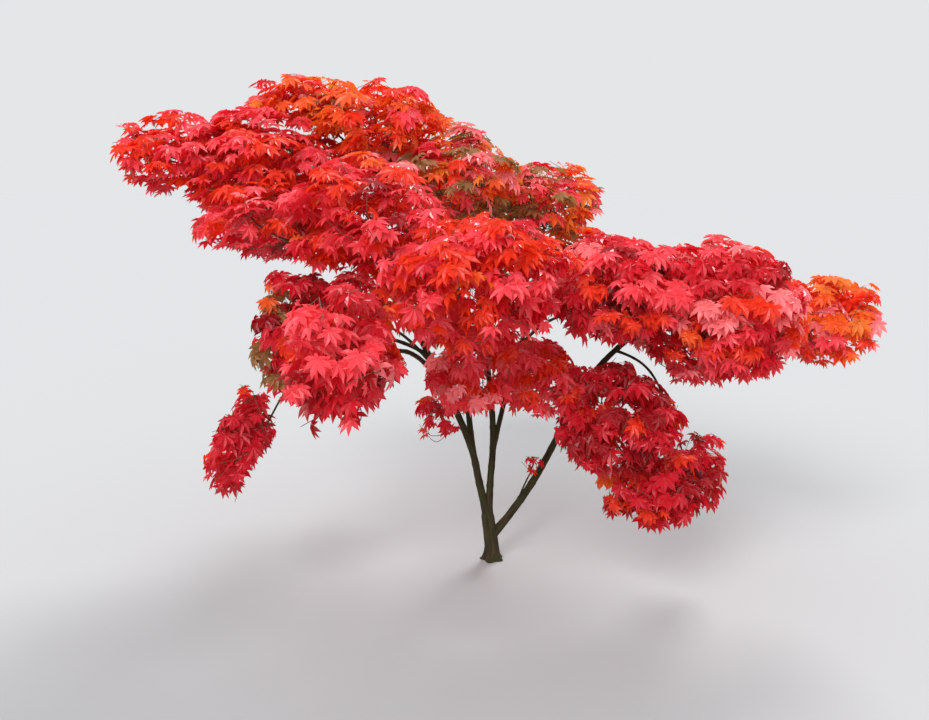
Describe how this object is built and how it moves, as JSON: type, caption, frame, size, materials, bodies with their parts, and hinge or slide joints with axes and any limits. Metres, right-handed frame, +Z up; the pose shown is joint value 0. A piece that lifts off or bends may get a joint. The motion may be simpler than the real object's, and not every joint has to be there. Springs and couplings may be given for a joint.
{
  "type": "japanese maple tree",
  "caption": "Small Japanese maple tree in red autumn leaf: a short trunk that forks low into slender leaning stems under a low, wide, tiered crown of lobed leaves.",
  "frame": {"origin": "middle of the trunk's flat cut at ground level", "axes": "+Z up, +X along the crown's widest spread (right as seen from the front), -Y towards the front"},
  "size_m": [2.9362, 2.7131, 1.9954],
  "materials": {
    "bark": "matt greenish brown bark, finely ridged lengthways",
    "leaves_scarlet": "thin satin leaves, scarlet",
    "leaves_crimson": "thin satin leaves, crimson to pinkish red",
    "leaves_deep_red": "thin satin leaves, deep red",
    "leaves_orange_red": "thin satin leaves, orange red"
  },
  "bodies": {
    "root": {"trunk": "bark", "left_stem": "bark", "middle_stem": "bark", "right_stem": "bark", "upright_stem": "bark", "fork_stem": "bark", "bough_left_tip": "bark", "bough_left_hang": "bark", "bough_left_low": "bark", "bough_left_tail": "bark", "bough_low_left": "bark", "bough_front_left": "bark", "bough_back_low_left": "bark", "bough_top_left": "bark", "bough_back_left": "bark", "bough_back_high": "bark", "bough_front_high": "bark", "bough_front_centre": "bark", "bough_low_centre": "bark", "bough_back_centre": "bark", "bough_back_far": "bark", "bough_low_middle": "bark", "bough_right_inner": "bark", "bough_back_right": "bark", "bough_right_mid": "bark", "bough_low_right": "bark", "bough_low_right_foot": "bark", "bough_low_right_tail": "bark", "bough_back_far_right": "bark", "bough_shoot": "bark", "leaves_left_tip": "leaves_orange_red", "leaves_left_arm": "leaves_scarlet", "leaves_left_hang": "leaves_scarlet", "leaves_left_low": "leaves_crimson", "leaves_left_tail": "leaves_deep_red", "leaves_low_left": "leaves_deep_red", "leaves_top_left": "leaves_orange_red", "leaves_top": "leaves_scarlet", "leaves_shoulder": "leaves_scarlet", "leaves_right_shoulder": "leaves_scarlet", "leaves_front_high": "leaves_scarlet", "leaves_front_centre": "leaves_crimson", "leaves_front_left": "leaves_crimson", "leaves_right_inner": "leaves_scarlet", "leaves_right_mid": "leaves_scarlet", "leaves_right_tip": "leaves_orange_red", "leaves_low_centre": "leaves_crimson", "leaves_low_middle": "leaves_deep_red", "leaves_low_right": "leaves_deep_red", "leaves_low_right_foot": "leaves_deep_red", "leaves_low_right_tail": "leaves_deep_red", "leaves_back_low_left": "leaves_deep_red", "leaves_back_left": "leaves_crimson", "leaves_back_high": "leaves_scarlet", "leaves_back_centre": "leaves_scarlet", "leaves_back_right": "leaves_scarlet", "leaves_back_far": "leaves_crimson", "leaves_back_far_right": "leaves_scarlet", "leaves_shoot": "leaves_deep_red"}
  },
  "joints": []
}
